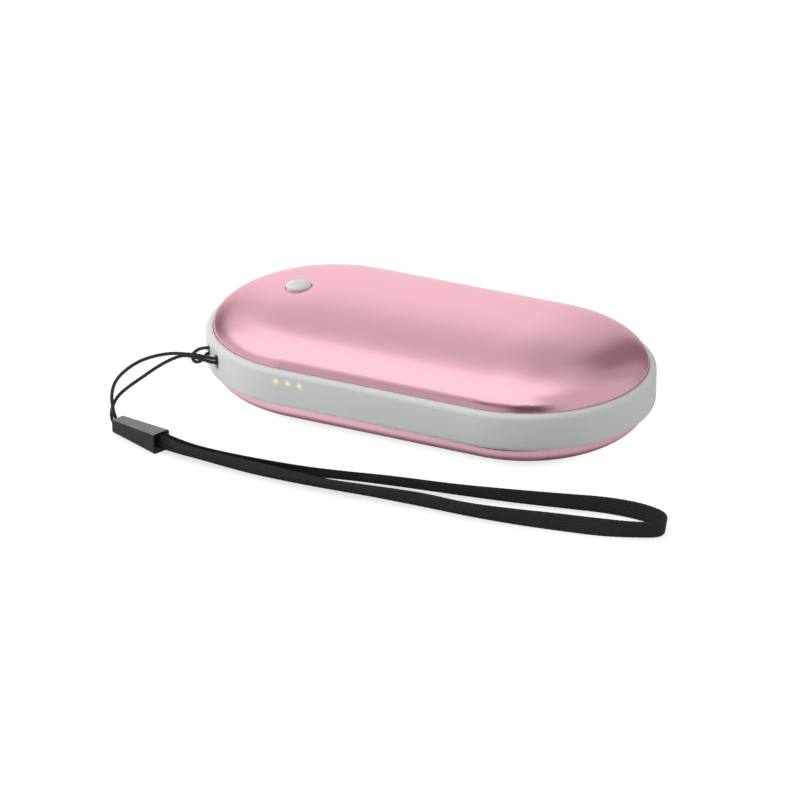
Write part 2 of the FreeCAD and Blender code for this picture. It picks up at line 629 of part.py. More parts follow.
collarTop = f"({switchTop} - Sizes.collar_gap)"
collarBottom = f"({collarTop} - Sizes.collar_height)"
nubEnd = f"({cavityFloor} + Sizes.snap_rise + Sizes.snap_gap)"
node(turnedBody("switch_stem", (
    ("0", nubEnd), ("Sizes.nub_radius", nubEnd), ("Sizes.nub_radius", collarBottom),
    ("Sizes.stem_collar", collarBottom), ("Sizes.stem_collar", collarTop), ("Sizes.stem_radius", collarTop),
    ("Sizes.stem_radius", stemTop), ("0", stemTop)), buttonX, buttonY))

# Power button: a crowned cap, a flange under the shell and a post on the switch stem
skinAbove = f"({upperSeam} + Sizes.dome_rise * sqrt(1 - ({reachToButton} / {seamRadius}) ^ 2))"
flangeEdge = f"({reachToButton} + Sizes.flange_radius)"
skinBelow = (f"({upperSeam} + (Sizes.dome_rise - Sizes.shell_wall)"
             f" * sqrt(1 - ({flangeEdge} / {innerShell}) ^ 2))")
flangeTop = f"({skinBelow} - Sizes.flange_gap)"
flangeBottom = f"({flangeTop} - Sizes.flange_thickness)"
capEdge = f"({skinAbove} + Sizes.button_proud - Sizes.button_crown)"
button = newBody("power_button")
buttonProfile = sketchOn(button, "ButtonProfile", "XZ_Plane")
capRadius, collarRadius, postRadius = "Sizes.button_radius", "Sizes.flange_radius", "Sizes.button_post"
rimPoint, crownPoint = quarterEllipse(buttonProfile, capRadius, "Sizes.button_crown", capEdge, 1)
steps = [(capRadius, flangeTop), (collarRadius, flangeTop), (collarRadius, flangeBottom),
         (postRadius, flangeBottom), (postRadius, stemTop), ("0", stemTop)]
places = [FreeCAD.Vector(number(x), number(y), 0) for x, y in steps]
flank = line(buttonProfile, FreeCAD.Vector(size("button_radius"), number(capEdge), 0), places[0])
hold(buttonProfile, "Coincident", *rimPoint, flank, 1)
previous = flank
for (x, y), start, end in zip(steps, places, places[1:]):
    side = line(buttonProfile, start, end)
    hold(buttonProfile, "Coincident", previous, 2, side, 1)
    measure(buttonProfile, "DistanceX", -1, 1, side, 1, x)
    measure(buttonProfile, "DistanceY", -1, 1, side, 1, y)
    previous = side
core = line(buttonProfile, places[-1], FreeCAD.Vector(0, number(capEdge) + size("button_crown"), 0))
hold(buttonProfile, "Coincident", previous, 2, core, 1)
hold(buttonProfile, "Coincident", core, 2, *crownPoint)
hold(buttonProfile, "PointOnObject", core, 1, -2)
measure(buttonProfile, "DistanceY", -1, 1, core, 1, stemTop)
revolve(button, "ButtonTurn", buttonProfile)
node(at(button, buttonX, buttonY))

# Indicator lights on the board's front edge, each with a light pipe through the band
for index in range(3):
    node(middleBox(f"indicator_light_{index + 1}", "Sizes.light_length", "Sizes.light_depth",
                   "Sizes.light_height", lightX(index), f"-{boardRadius} + Sizes.light_depth / 2", boardTop))
    node(frontRod(f"light_pipe_{index + 1}", "Sizes.light_radius",
                  f"{outerRadius} - {boardRadius} - Sizes.light_gap - Sizes.light_recess", lightX(index),
                  f"-{boardRadius} - Sizes.light_gap", lightLevel))

# Charging port, sunk into the board's notch
portBlock = middleBox("PortBlock", "Sizes.port_width", "Sizes.port_depth", "Sizes.port_height", portX,
                      f"{portBack} + Sizes.port_depth / 2", f"{portLevel} - Sizes.port_height / 2")
portOuter = softened("PortOuter", portBlock, size("port_corner"), [yAxis])
portCore = middleBox("PortCore", "Sizes.port_width - 2 * Sizes.port_wall", "Sizes.port_depth",
                     "Sizes.port_height - 2 * Sizes.port_wall", portX,
                     f"{portBack} + Sizes.port_depth / 2 + 2 * Sizes.port_wall",
                     f"{portLevel} - Sizes.port_height / 2 + Sizes.port_wall")
portInner = softened("PortInner", portCore, size("port_corner") - size("port_wall"), [yAxis])
node(cut("charge_port_shell", portOuter, portInner))
node(middleBox("charge_port_tongue", "Sizes.tongue_width", "Sizes.tongue_length", "Sizes.tongue_height",
               portX, f"{portBack} + 2 * Sizes.port_wall + Sizes.tongue_length / 2",
               f"{portLevel} - Sizes.tongue_height / 2"))


# Heater films bonded inside the shells, the top one with a hole for the button
filmOuter = tuple(f"({text} - Sizes.film_gap)" for text in insideDome)
filmInner = tuple(f"({text} - Sizes.film_thickness)" for text in filmOuter)


def topFilm(sketch):
    domeSection(sketch, filmOuter, filmInner, upperSeam, 1, edge="Sizes.film_reach")


def bottomFilm(sketch):
    domeSection(sketch, filmOuter, filmInner, lowerSeam, -1, edge="Sizes.film_reach")


topHeater = domedBody("top_heater", topFilm)
filmHole = sketchOn(topHeater, "FilmHole", "XY_Plane", z=upperSeam)
circleAt(filmHole, buttonX, buttonY, "Sizes.flange_radius + Sizes.flange_gap")
pocket(topHeater, "FilmHoleCut", filmHole, "Sizes.dome_rise", upward=True)
node(topHeater)
node(domedBody("bottom_heater", bottomFilm))


# Level of a film's free face at the given distance from the long axis
def filmFace(side, away):
    inset = size("shell_wall") + size("film_gap") + size("film_thickness")
    reach = number(seamRadius) - inset
    height = (size("dome_rise") - inset) * math.sqrt(1 - (away / reach) ** 2)
    return number(upperSeam) + height if side > 0 else number(lowerSeam) - height


# A path of straight runs joined by tangent arcs. Each arc takes 0.45 of its shorter run.
def roundedPath(points, radii=None):
    corners = [FreeCAD.Vector(*point) for point in points]
    edges, last = [], corners[0]
    for before, corner, after in zip(corners, corners[1:], corners[2:]):
        back, ahead = before - corner, after - corner
        reach = 0.45 * min(back.Length, ahead.Length)
        half = back.getAngle(ahead) / 2
        entry = corner + back.normalize() * reach
        leave = corner + ahead.normalize() * reach
        radius = reach * math.tan(half)
        bisector = (back + ahead).normalize()
        middle = corner + bisector * (reach / math.cos(half) - radius)
        edges.append(Part.LineSegment(last, entry).toShape())
        edges.append(Part.Arc(entry, middle, leave).toShape())
        last = leave
        if radii is not None:
            radii.append(radius)
    edges.append(Part.LineSegment(last, corners[-1]).toShape())
    return Part.Wire(edges)


# A round tube along such a path, checked by its volume
def tube(points, radius, label=None):
    radii = []
    path = roundedPath(points, radii)
    start = FreeCAD.Vector(*points[0])
    heading = FreeCAD.Vector(*points[1]) - start
    ring = Part.Wire(Part.Circle(start, heading, radius).toShape())
    shape = path.makePipeShell([ring], True, False)
    expected = math.pi * radius ** 2 * path.Length
    if abs(shape.Volume - expected) > 0.02 * expected:
        raise ValueError(f"{label}: tube volume {shape.Volume:.2f}, section times length {expected:.2f}")
    if label:
        print(label, "length", round(path.Length, 1), "radii", [round(radius, 2) for radius in radii])
    return shape


def feature(name, shape):
    item = doc.addObject("Part::Feature", name)
    item.Shape = shape
    item.Placement = FreeCAD.Placement()
    return node(item)


# Leads between the films, the battery and the board
leadRadius, leadBow, leadPitch = size("lead_radius"), size("lead_bow"), size("lead_pitch")
boardUpper, boardLower = number(boardTop), number(boardBottom)
leadPlace, partSpread = number(leadX), size("part_spread")


def heaterLeads(name, side, away):
    pair = []
    for offset in (-leadPitch / 2, leadPitch / 2):
        x = leadPlace + offset
        face = filmFace(side, away)
        board = boardUpper if side > 0 else boardLower
        third = (face - board) / 3
        bow = away + leadBow * (1 if side > 0 else -1) * 0.5
        pair.append(tube([(x, -away, board), (x, -away, board + third / 2), (x, -bow, board + third * 1.5),
                          (x, -away, face - third / 2), (x, -away, face)], leadRadius))
    feature(name, Part.makeCompound(pair))


heaterLeads("top_heater_leads", 1, partSpread * 0.5)
heaterLeads("bottom_heater_leads", -1, partSpread)

guardTop = number(guardLevel) + size("guard_height")
guardMiddle = number(guardX) + size("guard_thickness") / 2
leadLanding = number(boardRight) - leadBow
for name, side in (("battery_lead_positive", 1), ("battery_lead_negative", -1)):
    start = side * size("battery_lead_spread")
    end = start + side * leadBow
    middle = ((guardMiddle + leadLanding) / 2, (start + end) / 2, guardTop + 1.5 * leadBow)
    feature(name, tube([(guardMiddle, start, guardTop), (guardMiddle, start, guardTop + leadBow), middle,
                        (leadLanding, end, guardTop), (leadLanding, end, boardUpper)], leadRadius))

# Heat sensor: a bead against the top film with a ribbon down to the board
sensorX, sensorY = f"({boardRight} - Sizes.sensor_place)", "Sizes.part_spread / 2"
beadFace = f"({upperSeam} + (Sizes.dome_rise - Sizes.shell_wall - Sizes.film_gap - Sizes.film_thickness)" \
           f" * sqrt(1 - ((Sizes.part_spread + Sizes.bead_width) / 2 /" \
           f" ({innerShell} - Sizes.film_gap - Sizes.film_thickness)) ^ 2))"
bead = middleBox("SensorBead", "Sizes.bead_length", "Sizes.bead_width", "Sizes.bead_height", sensorX,
                 sensorY, f"{beadFace} - Sizes.bead_height - Sizes.film_gap")
ribbon = middleBox("SensorRibbon", "Sizes.ribbon_width", "Sizes.ribbon_thickness",
                   f"{beadFace} - Sizes.bead_height / 2 - {boardTop}", sensorX, sensorY, boardTop)
node(fuse("heat_sensor", bead, ribbon))

# Lanyard clip: a tapered sleeve that lies on the rest plane, with its mouth towards the strap
wedge = doc.addObject("Part::Wedge", "ClipBlock")
bind(wedge, {"Xmin": "-Sizes.clip_end_width / 2", "Xmax": "Sizes.clip_end_width / 2", "Ymin": "0",
             "Ymax": "Sizes.clip_length", "Zmin": "0", "Zmax": "Sizes.clip_end_height",
             "X2min": "-Sizes.clip_mouth_width / 2", "X2max": "Sizes.clip_mouth_width / 2", "Z2min": "0",
             "Z2max": "Sizes.clip_mouth_height"})
doc.recompute()
clipRound = doc.addObject("Part::Fillet", "ClipRound")
clipRound.Base = wedge
clipEdge = size("clip_edge")
clipRound.Edges = [(i, clipEdge, clipEdge) for i, edge in enumerate(wedge.Shape.Edges, start=1)
                   if edge.BoundBox.YMin < size("clip_length") / 2]
mouthWidth = "(Sizes.clip_mouth_width - 2 * Sizes.clip_wall)"
mouthHeight = "(Sizes.strap_width + 2 * Sizes.strap_play)"
clipMouth = box("ClipMouth", mouthWidth, "2 * Sizes.clip_pocket", mouthHeight, f"-{mouthWidth} / 2",
                "Sizes.clip_length - Sizes.clip_pocket", f"(Sizes.clip_mouth_height - {mouthHeight}) / 2")
clip = cut("lanyard_clip", clipRound, clipMouth)
clip.Placement = FreeCAD.Placement(FreeCAD.Vector(), FreeCAD.Rotation(zAxis, size("clip_heading") - 90))
node(at(clip, "Sizes.clip_x", "Sizes.clip_y"))

# Lanyard string, one thread: from the clip to the band, hitched round the bar between the
# two slots, and back to the clip
stringRoute = [
    (-57.3, -38.8, 1.8), (-58.7, -38.5, 2.2), (-59.1, -38.9, 3.8), (-59.5, -39.2, 6.0),
    (-60.3, -37.8, 8.1), (-60.3, -35.8, 10.4), (-59.0, -33.6, 12.4), (-56.7, -31.2, 14.2),
    (-53.8, -29.1, 15.3), (-50.5, -27.1, 15.8), (-47.9, -25.9, 15.6), (-45.8, -24.7, 15.3),
    (-43.8, -23.7, 14.8), (-41.9, -23.2, 14.6), (-40.2, -21.1, 14.6), (-39.6, -19.5, 14.5),
    (-42.4, -16.8, 14.5), (-44.0, -17.5, 14.5), (-46.1, -19.3, 14.6), (-45.5, -22.0, 15.7),
    (-45.5, -24.7, 16.5), (-46.0, -26.3, 15.8), (-45.8, -26.0, 14.1), (-45.5, -23.7, 13.0),
    (-45.6, -20.9, 13.0), (-45.9, -19.2, 13.3), (-44.0, -17.5, 13.2), (-42.4, -16.8, 13.2),
    (-39.6, -19.5, 13.2), (-40.2, -21.1, 13.2), (-41.9, -23.2, 13.3), (-43.8, -23.8, 13.8),
    (-46.1, -24.2, 14.4), (-48.6, -25.1, 15.0), (-50.8, -27.1, 14.2), (-53.3, -29.5, 12.7),
    (-55.4, -31.8, 10.9), (-57.3, -34.0, 9.4), (-58.9, -35.9, 7.9), (-60.0, -37.4, 6.2),
    (-60.3, -38.6, 4.2), (-59.8, -39.4, 2.8), (-59.0, -39.7, 1.9), (-57.5, -39.9, 1.7)]
feature("lanyard_string", tube(stringRoute, size("string_diameter") / 2, "lanyard_string"))

# Wrist strap: flat webbing on its edge, out of the clip, round its far bend and back
strapLevel = (size("clip_mouth_height") - size("strap_width")) / 2
strapRoute = [
    (-45.8, -43.45), (-43.9, -44.0), (-40.5, -44.1), (-36.0, -44.2), (-30.0, -44.7), (-21.0, -45.35),
    (-12.0, -45.75), (-3.0, -45.5), (8.0, -44.4), (20.0, -43.55), (30.0, -43.7), (40.0, -42.6),
    (50.0, -40.75), (59.0, -39.15), (66.0, -37.0), (71.5, -34.3), (70.7, -30.2), (64.5, -28.3),
    (56.5, -28.5), (47.0, -30.9), (36.0, -33.5), (24.0, -35.7), (10.0, -37.7), (-1.0, -39.8),
    (-10.0, -42.3), (-21.0, -44.0), (-30.0, -43.75), (-36.0, -43.25), (-40.5, -43.15), (-43.6, -43.05),
    (-45.4, -42.5)]
strapRadii = []
strapPath = roundedPath([(x, y, strapLevel) for x, y in strapRoute], strapRadii)
strapFace = strapPath.makeOffset2D(size("strap_thickness") / 2, 0, True, True, False)
strapShape = strapFace.extrude(FreeCAD.Vector(0, 0, size("strap_width")))
print("wrist_strap length", round(strapPath.Length, 1), "radii", [round(bend, 1) for bend in strapRadii])
feature("wrist_strap", strapShape)

doc.recompute()
for item in doc.Objects:
    if "Invalid" in item.State or "Error" in item.State:
        raise ValueError(f"{item.Name}: {item.State}")
for item in nodes:
    if item.Shape.isNull() or not item.Shape.isValid() or not item.Shape.Solids:
        raise ValueError(f"{item.Label} has no sound solid")
os.makedirs("parts", exist_ok=True)
for item in nodes:
    item.Shape.exportStep(f"parts/{item.Label}.step")
    reach = item.Shape.BoundBox
    print(f"{item.Label}: {len(item.Shape.Solids)} solid, volume {item.Shape.Volume:.1f},",
          f"x {reach.XMin:.2f} {reach.XMax:.2f}, y {reach.YMin:.2f} {reach.YMax:.2f},",
          f"z {reach.ZMin:.2f} {reach.ZMax:.2f}")
print(len(nodes), "nodes")
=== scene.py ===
import bpy
import math
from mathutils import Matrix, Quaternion, Vector


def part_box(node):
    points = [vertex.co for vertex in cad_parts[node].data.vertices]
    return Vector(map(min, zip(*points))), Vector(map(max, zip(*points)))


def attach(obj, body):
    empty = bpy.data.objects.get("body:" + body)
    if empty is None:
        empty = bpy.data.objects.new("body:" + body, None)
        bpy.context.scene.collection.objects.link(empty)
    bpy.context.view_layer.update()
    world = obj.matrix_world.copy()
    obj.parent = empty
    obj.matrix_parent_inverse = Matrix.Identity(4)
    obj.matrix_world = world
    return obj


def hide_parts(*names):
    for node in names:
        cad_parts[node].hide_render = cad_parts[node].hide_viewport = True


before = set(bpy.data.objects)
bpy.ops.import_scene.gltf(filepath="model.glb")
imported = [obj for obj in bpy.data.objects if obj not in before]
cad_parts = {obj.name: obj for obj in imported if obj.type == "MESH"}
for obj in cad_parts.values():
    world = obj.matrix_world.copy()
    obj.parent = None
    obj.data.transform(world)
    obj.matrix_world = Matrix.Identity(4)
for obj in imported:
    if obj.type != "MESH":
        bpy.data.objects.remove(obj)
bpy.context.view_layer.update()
print("frame loaded:", len(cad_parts), "nodes")

mm = 0.001
upward = Vector((0, 0, 1))


def deselectAll():
    bpy.ops.object.select_all(action="DESELECT")


def joined(name, pieces):
    deselectAll()
    for piece in pieces:
        piece.select_set(True)
    bpy.context.view_layer.objects.active = pieces[0]
    bpy.ops.object.join()
    whole = bpy.context.object
    whole.name = name
    return whole


view = {
    "azimuth": 26.003, "elevation": 24.788, "distance": 0.942353,
    "right": 0.006466, "up": -0.002787,   # how far the origin sits off the middle of the picture
    "lens": 189.0, "sensor": 36.0, "near": 0.01, "far": 50,
}


def placeCamera():
    turn, lift = math.radians(view["azimuth"]), math.radians(view["elevation"])
    back = Vector((math.sin(turn) * math.cos(lift), -math.cos(turn) * math.cos(lift), math.sin(lift)))
    right = Vector((math.cos(turn), math.sin(turn), 0))
    deselectAll()
    bpy.ops.object.camera_add()
    camera = bpy.context.object
    camera.name = "photoCamera"
    camera.location = back * view["distance"] - right * view["right"] - back.cross(right) * view["up"]
    camera.rotation_mode = "QUATERNION"
    camera.rotation_quaternion = (-back).to_track_quat("-Z", "Y")
    camera.data.lens, camera.data.sensor_width = view["lens"], view["sensor"]
    camera.data.clip_start, camera.data.clip_end = view["near"], view["far"]
    bpy.context.scene.camera = camera


placeCamera()
print("camera placed")


def routeLine(name, route, steps):
    # the route's points steer one smooth line, which is read back as points
    shape = bpy.data.curves.new(name + "Route", "CURVE")
    shape.dimensions = "3D"
    line = shape.splines.new("NURBS")
    line.points.add(len(route) - 1)
    for point, spot in zip(line.points, route):
        point.co = (*(value * mm for value in spot), 1)
    line.order_u = 3
    line.use_endpoint_u = True
    line.resolution_u = steps
    holder = bpy.data.objects.new(name + "Route", shape)
    bpy.context.scene.collection.objects.link(holder)
    bpy.context.view_layer.update()
    evaluated = holder.evaluated_get(bpy.context.evaluated_depsgraph_get())
    mesh = bpy.data.meshes.new_from_object(evaluated)
    points = [vertex.co.copy() for vertex in mesh.vertices]
    bpy.data.meshes.remove(mesh)
    bpy.data.objects.remove(holder)
    return points


def lengths(points):
    run = [0.0]
    for a, b in zip(points, points[1:]):
        run.append(run[-1] + (b - a).length)
    return run


def headings(points):
    before, after = [points[0]] + points[:-1], points[1:] + [points[-1]]
    return [(b - a).normalized() for a, b in zip(before, after)]


def meshPiece(name, vertices, faces, uvs):
    mesh = bpy.data.meshes.new(name)
    mesh.from_pydata(vertices, [], faces)
    layer = mesh.uv_layers.new(name="UVMap")
    for loop in mesh.loops:
        layer.data[loop.index].uv = uvs[loop.index]
    mesh.validate()
    piece = bpy.data.objects.new(name, mesh)
    bpy.context.scene.collection.objects.link(piece)
    return piece


def sweep(name, rings, pitches):
    # skins a row of closed rings, with flat caps at both ends; u goes round, v along in metres
    count = len(rings[0])
    vertices = [spot for ring in rings for spot in ring]
    faces, uvs = [], []
    for i in range(len(rings) - 1):
        for j in range(count):
            k = (j + 1) % count
            faces.append((i * count + j, i * count + k, (i + 1) * count + k, (i + 1) * count + j))
            low, high = j / count, (j + 1) / count
            here, ahead = pitches[i], pitches[i + 1]
            uvs += [(low, here), (high, here), (high, ahead), (low, ahead)]
    last = (len(rings) - 1) * count
    faces += [tuple(reversed(range(count))), tuple(last + j for j in range(count))]
    uvs += [(j / count, pitches[0]) for j in reversed(range(count))]
    uvs += [(j / count, pitches[-1]) for j in range(count)]
    piece = meshPiece(name, vertices, faces, uvs)
    piece.data.shade_smooth()
    return piece


string = {
    # in millimetres, the length in metres
    "diameter": 0.7, "length": 0.1055, "plies": 5, "plyRadius": 0.2, "layRadius": 0.2,
    "turn": 4.2, "sides": 8, "steps": 14,
    "route": [
        (-57.3, -38.8, 1.8), (-58.35, -38.55, 2.2), (-58.8, -38.85, 3.7), (-59.1, -39.05, 5.8),
        (-60.05, -37.75, 7.95), (-60.25, -35.75, 10.25), (-58.95, -33.55, 12.25), (-56.6, -31.15, 14.05),
        (-53.7, -29.05, 15.1), (-50.4, -27.05, 15.6), (-47.8, -25.85, 15.4), (-45.75, -24.65, 15.15),
        (-43.8, -23.7, 14.6), (-41.9, -23.2, 14.3), (-40.2, -21.1, 14.2), (-39.6, -19.5, 14.2),
        (-42.4, -16.8, 14.2), (-44.0, -17.5, 14.3), (-46.1, -19.3, 14.6), (-45.5, -22.0, 15.7),
        (-45.35, -24.6, 16.4), (-45.85, -26.2, 15.7), (-45.65, -25.9, 14.0), (-45.4, -23.6, 12.9),
        (-45.6, -20.9, 13.0), (-45.9, -19.2, 13.3), (-44.0, -17.5, 13.2), (-42.4, -16.8, 13.2),
        (-39.6, -19.5, 13.2), (-40.2, -21.1, 13.2), (-41.9, -23.2, 13.3), (-43.8, -23.8, 13.8),
        (-46.0, -24.15, 14.2), (-48.45, -25.0, 14.75), (-50.7, -27.05, 14.05), (-53.2, -29.45, 12.5),
        (-55.3, -31.75, 10.75), (-57.2, -33.95, 9.25), (-58.85, -35.85, 7.7), (-59.65, -37.35, 6.05),
        (-59.75, -38.55, 4.2), (-59.25, -39.3, 2.85), (-58.5, -39.7, 2.0), (-57.4, -39.9, 1.7)],
}


def twistString():
    path = routeLine("lanyardString", string["route"], string["steps"])
    run, ahead = lengths(path), headings(path)
    # a side direction carried along the line, so that the plies don't jump
    side = ahead[0].orthogonal().normalized()
    sides = []
    for heading in ahead:
        side = (side - heading * side.dot(heading)).normalized()
        sides.append(side.copy())
    plies = []
    for ply in range(string["plies"]):
        rings = []
        for spot, heading, side, reach in zip(path, ahead, sides, run):
            angle = 2 * math.pi * (reach / (string["turn"] * mm) + ply / string["plies"])
            out = Quaternion(heading, angle) @ side
            centre = spot + out * string["layRadius"] * mm
            ring = []
            for j in range(string["sides"]):
                spin = Quaternion(heading, 2 * math.pi * j / string["sides"])
                ring.append(centre + spin @ out * string["plyRadius"] * mm)
            rings.append(ring)
        plies.append(sweep(f"stringPly{ply}", rings, run))
    piece = joined("lanyardThread", plies)
    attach(piece, "warmer")
    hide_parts("lanyard_string")
    print("string twisted, length", round(run[-1] / mm, 1), "mm")
    return piece


strap = {
    # in millimetres, the length in metres
    "width": 3.92, "thickness": 0.62, "length": 0.240, "ribs": 6, "ribDepth": 0.07, "perRib": 4,
    "edgeRound": 0.45, "edgeThin": 0.35,   # how far in the edges thin out, and to what share
    "scallop": 0.025, "scallopPitch": 1.25, "scallopShare": 0.3,   # the outer share of the width that swells
    "drift": 0.9, "driftTurns": 7.3, "steady": 0.6, "fadeTurns": 3.1,   # what makes the scallops uneven
    "steps": 70, "spacing": 0.16, "pinch": 0.12, "pinchReach": 7.0,
    # x, y, lift off the floor, lean of the upper edge towards the inside of the loop in degrees
    "route": [
        (-45.8, -43.45, 0.52, 0), (-43.9, -44.1, 0.45, -6), (-40.5, -44.6, 0.2, -18),
        (-36.0, -45.0, 0.05, -28), (-30.0, -45.5, 0, -24), (-21.0, -46.1, 0, -16),
        (-12.0, -46.26, 0, -22), (-3.0, -46.2, 0, -32), (8.0, -45.1, 0, -27), (20.0, -44.2, 0, -14),
        (30.0, -44.35, 0, -19), (40.0, -43.2, 0, -8), (50.0, -41.35, 0, 5), (59.0, -39.75, 0, 9),
        (66.0, -37.7, 0, -8), (71.5, -35.1, 0, -8), (70.7, -31.0, 0, -7), (64.5, -29.0, 0, -6),
        (56.5, -29.2, 0, 2), (47.0, -31.6, 0, 12), (36.0, -34.2, 0, 19), (24.0, -36.4, 0, 29),
        (10.0, -38.4, 0, 32), (-1.0, -40.5, 0, 38), (-10.0, -42.7, 0, 32), (-21.0, -44.2, 0, 23),
        (-30.0, -44.3, 0, 24), (-36.0, -43.9, 0.05, 24), (-40.5, -43.5, 0.2, 14),
        (-43.6, -43.05, 0.45, 3), (-45.4, -42.5, 0.52, 0)],
}


def strapOutline():
    # one turn round the webbing: ribs on both faces, rounded edges
    count = strap["ribs"] * strap["perRib"]
    half, flat = strap["width"] / 2, strap["thickness"] / 2
    outline = []
    for face in (1, -1):
        for i in range(count + 1):
            across = -half + strap["width"] * i / count
            swell = abs(math.sin(math.pi * strap["ribs"] * i / count))
            edge = min(1.0, (half - abs(across)) / strap["edgeRound"])
            share = strap["edgeThin"] + (1 - strap["edgeThin"]) * math.sqrt(max(edge, 0))
            body = (flat - strap["ribDepth"]) * share
            outline.append((across * face, face * (body + strap["ribDepth"] * swell * edge)))
    return outline


def strapPoint(x, y, lift, lean):
    # the strap stands on its lower edge, so the more it leans the lower its middle is
    tip = math.radians(lean)
    rest = strap["width"] / 2 * math.cos(tip) + strap["thickness"] / 2 * abs(math.sin(tip))
    return (x, y, rest + lift)


def weaveStrap():
    path = routeLine("wristStrap", [strapPoint(*row) for row in strap["route"]], strap["steps"])
    # the leans go along the same kind of line, so that each of its points belongs to one of the path's
    leanRows = [(lean, i, 0) for i, (x, y, lift, lean) in enumerate(strap["route"])]
    leans = routeLine("strapLean", leanRows, strap["steps"])
    run, ahead = lengths(path), headings(path)
    outline = strapOutline()
    half, share, steady = strap["width"] / 2, strap["scallopShare"], strap["steady"]
    rings, pitches = [], []
    for spot, heading, lean, reach in zip(path, ahead, leans, run):
        if pitches and reach - pitches[-1] < strap["spacing"] * mm and reach < run[-1]:
            continue
        level = Vector((heading.x, heading.y, 0)).normalized()
        inside = Vector((-level.y, level.x, 0))
        tip = math.radians(lean.x / mm)
        rise = upward * math.cos(tip) + inside * math.sin(tip)
        face = inside * math.cos(tip) - upward * math.sin(tip)
        turn = 2 * math.pi * reach / (strap["scallopPitch"] * mm)
        wave = math.sin(turn + strap["drift"] * math.sin(turn / strap["driftTurns"]))
        wave *= steady + (1 - steady) * math.sin(turn / strap["fadeTurns"])
        near = min(reach, run[-1] - reach) / (strap["pinchReach"] * mm)
        narrow = 1 - strap["pinch"] * max(0.0, 1 - near)
        ring = []
        for across, out in outline:
            # the two edges swell in turn, where the yarns go round
            edge = max(0.0, abs(across) / half - (1 - share)) / share
            stretch = strap["scallop"] * edge * wave * (1 if across > 0 else -1)
            ring.append(spot + rise * (across + stretch) * narrow * mm + face * out * mm)
        rings.append(ring)
        pitches.append(reach)
    piece = sweep("wristWebbing", rings, pitches)
    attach(piece, "warmer")
    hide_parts("wrist_strap")
    print("strap woven, length", round(run[-1] / mm, 1), "mm,", len(rings), "rings")
    return piece


thread = twistString()
thread.visible_glossy = False   # its mirror image on the shell's rim would look like a scratch
webbing = weaveStrap()

contact = {
    "width": 0.25, "pitch": 0.5, "perFace": 12, "rise": 0.05, "inset": 0.35,
    "bevel": 0.02, "bevelSteps": 2,
}


def gildPort():
    # rows of contacts on both faces of the charging port's tongue
    low, high = (Vector(corner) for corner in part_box("charge_port_tongue"))
    middle = (low + high) / 2
    reach = high.y - low.y - 2 * contact["inset"] * mm
    deselectAll()
    bpy.ops.mesh.primitive_cube_add(size=1)
    first = bpy.context.object
    bpy.ops.object.mode_set(mode="EDIT")
    bpy.ops.transform.resize(value=(contact["width"] * mm, reach, contact["rise"] * mm))
    bpy.ops.mesh.bevel(offset=contact["bevel"] * mm, segments=contact["bevelSteps"], affect="EDGES")
    bpy.ops.object.mode_set(mode="OBJECT")
    copies = []
    span = (contact["perFace"] - 1) * contact["pitch"]
    for level in (low.z, high.z):
        for i in range(contact["perFace"]):
            copy = first.copy()
            copy.data = first.data.copy()
            off = (i * contact["pitch"] - span / 2) * mm
            copy.location = (middle.x + off, middle.y, level)
            bpy.context.scene.collection.objects.link(copy)
            copies.append(copy)
    bpy.data.objects.remove(first)
    piece = joined("portContacts", copies)
    bpy.ops.object.transform_apply(location=True, rotation=True, scale=True)
    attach(piece, "warmer")
    print("port contacts laid:", len(copies))
    return piece


portContacts = gildPort()


def wire(tree, source, target):
    tree.links.new(source, target)


def addNode(tree, kind, inputs=None, **settings):
    node = tree.nodes.new(kind)
    for key, value in settings.items():
        setattr(node, key, value)
    for key, value in (inputs or {}).items():
        if isinstance(value, bpy.types.NodeSocket):
            wire(tree, value, node.inputs[key])
        else:
            node.inputs[key].default_value = value
    return node


def maths(tree, operation, first, second=0.0):
    return addNode(tree, "ShaderNodeMath", {0: first, 1: second}, operation=operation).outputs[0]


def mixed(tree, factor, first, second):
    # of this node's inputs and outputs, 6, 7 and 2 are the ones for colours
    node = addNode(tree, "ShaderNodeMix", {0: factor, 6: first, 7: second}, data_type="RGBA")
    return node.outputs[2]


def spread(tree, value, low, high, outLow=0.0, outHigh=1.0):
    # carries a value from one range to another, with soft ends
    node = addNode(tree, "ShaderNodeMapRange", {"Value": value, "From Min": low, "From Max": high,
                                                "To Min": outLow, "To Max": outHigh},
                   interpolation_type="SMOOTHSTEP")
    return node.outputs["Result"]


def axes(tree, vector):
    return addNode(tree, "ShaderNodeSeparateXYZ", {"Vector": vector}).outputs


def noiseIn(tree, vector, scale, **inputs):
    return addNode(tree, "ShaderNodeTexNoise", {"Vector": vector, "Scale": scale, **inputs}).outputs["Fac"]


def newGroup(name, inputs, outputs):
    tree = bpy.data.node_groups.new(name, "ShaderNodeTree")
    for label, value in inputs:
        kind = "NodeSocketColor" if isinstance(value, tuple) else "NodeSocketFloat"
        tree.interface.new_socket(name=label, in_out="INPUT", socket_type=kind).default_value = value
    for label, kind in outputs:
        tree.interface.new_socket(name=label, in_out="OUTPUT", socket_type="NodeSocket" + kind)
    return tree, addNode(tree, "NodeGroupInput").outputs, addNode(tree, "NodeGroupOutput").inputs


def ownPlace(tree):
    return addNode(tree, "ShaderNodeTexCoord").outputs["Object"]


noiseSpan = (0.3, 0.7)   # where most of a noise texture's values lie


def makeFineGrain():
    # a small pitted texture in the piece's own space
    tree, given, out = newGroup("fineGrain", [("Scale", 4000.0)], [("Height", "Float")])
    noise = noiseIn(tree, ownPlace(tree), given["Scale"], Detail=2.0, Roughness=0.6)
    wire(tree, noise, out["Height"])
    return tree


